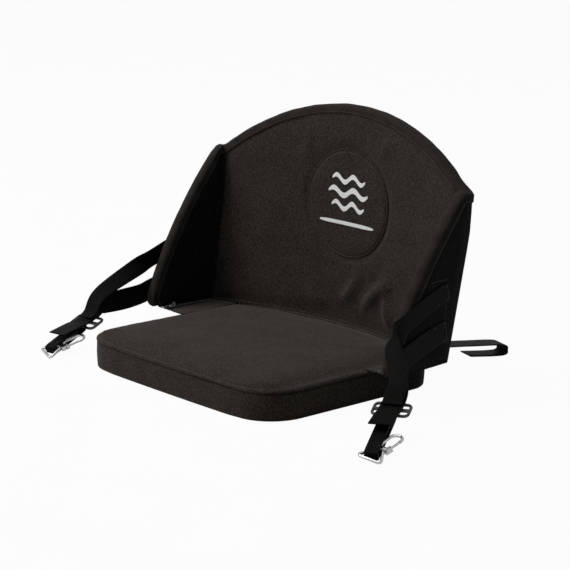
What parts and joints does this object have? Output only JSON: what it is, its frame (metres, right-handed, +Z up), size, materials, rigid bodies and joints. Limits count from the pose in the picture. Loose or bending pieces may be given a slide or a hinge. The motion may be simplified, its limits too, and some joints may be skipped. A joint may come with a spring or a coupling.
{
  "type": "kayak seat",
  "caption": "Soft kayak seat with a foam cushion, a wrap-round backrest with side wings, adjustable webbing straps, snap hooks, zips and a rear pouch.",
  "frame": {"origin": "centre of the flat underside of the seat cushion", "axes": "+Z up out of the cushion, -Y towards the front of the seat, +X to the sitter's left as they face forward"},
  "size_m": [0.7004, 0.4491, 0.3527],
  "materials": {
    "heather_fabric": "matt woven",
    "black_fabric": "matt woven",
    "black_webbing": "ribbed webbing",
    "black_plastic": "satin moulded",
    "chromed_steel": "polished"
  },
  "bodies": {
    "seat": {"seat_cushion": "heather_fabric", "base_panel": "black_fabric", "backrest_panel": "heather_fabric", "edge_binding": "black_fabric", "round_patch": "heather_fabric", "zip_tape": "black_webbing", "rear_pouch": "black_fabric", "pouch_flap": "black_fabric", "left_wing": "black_fabric", "left_zip_chain": "black_plastic", "left_anchor_patch": "black_fabric", "left_side_strap": "black_webbing", "left_adjuster_strap": "black_webbing", "left_buckle": "black_plastic", "left_hook_loop": "black_webbing", "left_snap_hook": "chromed_steel", "left_gate_pin": "chromed_steel", "left_rear_strap": "black_webbing", "right_wing": "black_fabric", "right_zip_chain": "black_plastic", "right_anchor_patch": "black_fabric", "right_side_strap": "black_webbing", "right_adjuster_strap": "black_webbing", "right_buckle": "black_plastic", "right_hook_loop": "black_webbing", "right_snap_hook": "chromed_steel", "right_gate_pin": "chromed_steel", "right_rear_strap": "black_webbing"},
    "left_gate": {"left_hook_gate": "chromed_steel"},
    "right_gate": {"right_hook_gate": "chromed_steel"},
    "left_slider": {"left_zip_slider": "chromed_steel"},
    "right_slider": {"right_zip_slider": "chromed_steel"},
    "left_pull": {"left_zip_pull": "chromed_steel"},
    "right_pull": {"right_zip_pull": "chromed_steel"}
  },
  "joints": [
    {"name": "left_gate_hinge", "type": "hinge", "parent": "seat", "child": "left_gate", "pos_m": [-0.24688, -0.15157, 0.01263], "axis": [0.057, -0.3462, 0.9364], "range_deg": [0, 35], "stiffness_Nm_per_rad": 0.01, "springref_deg": -17.19},
    {"name": "right_gate_hinge", "type": "hinge", "parent": "seat", "child": "right_gate", "pos_m": [0.38664, -0.12615, 0.01021], "axis": [0.145, -0.229, 0.9626], "range_deg": [0, 35], "stiffness_Nm_per_rad": 0.01, "springref_deg": -17.19},
    {"name": "left_zip_slide", "type": "slide", "parent": "seat", "child": "left_slider", "axis": [0, 1, 0], "range_m": [0, 0.056]},
    {"name": "right_zip_slide", "type": "slide", "parent": "seat", "child": "right_slider", "axis": [0, 1, 0], "range_m": [0, 0.056]},
    {"name": "left_pull_hinge", "type": "hinge", "parent": "left_slider", "child": "left_pull", "pos_m": [-0.22796, 0.024, 0.0511], "axis": [-1, 0, 0], "range_deg": [0, 165]},
    {"name": "right_pull_hinge", "type": "hinge", "parent": "right_slider", "child": "right_pull", "pos_m": [0.22796, 0.024, 0.0511], "axis": [-1, 0, 0], "range_deg": [0, 165]}
  ]
}
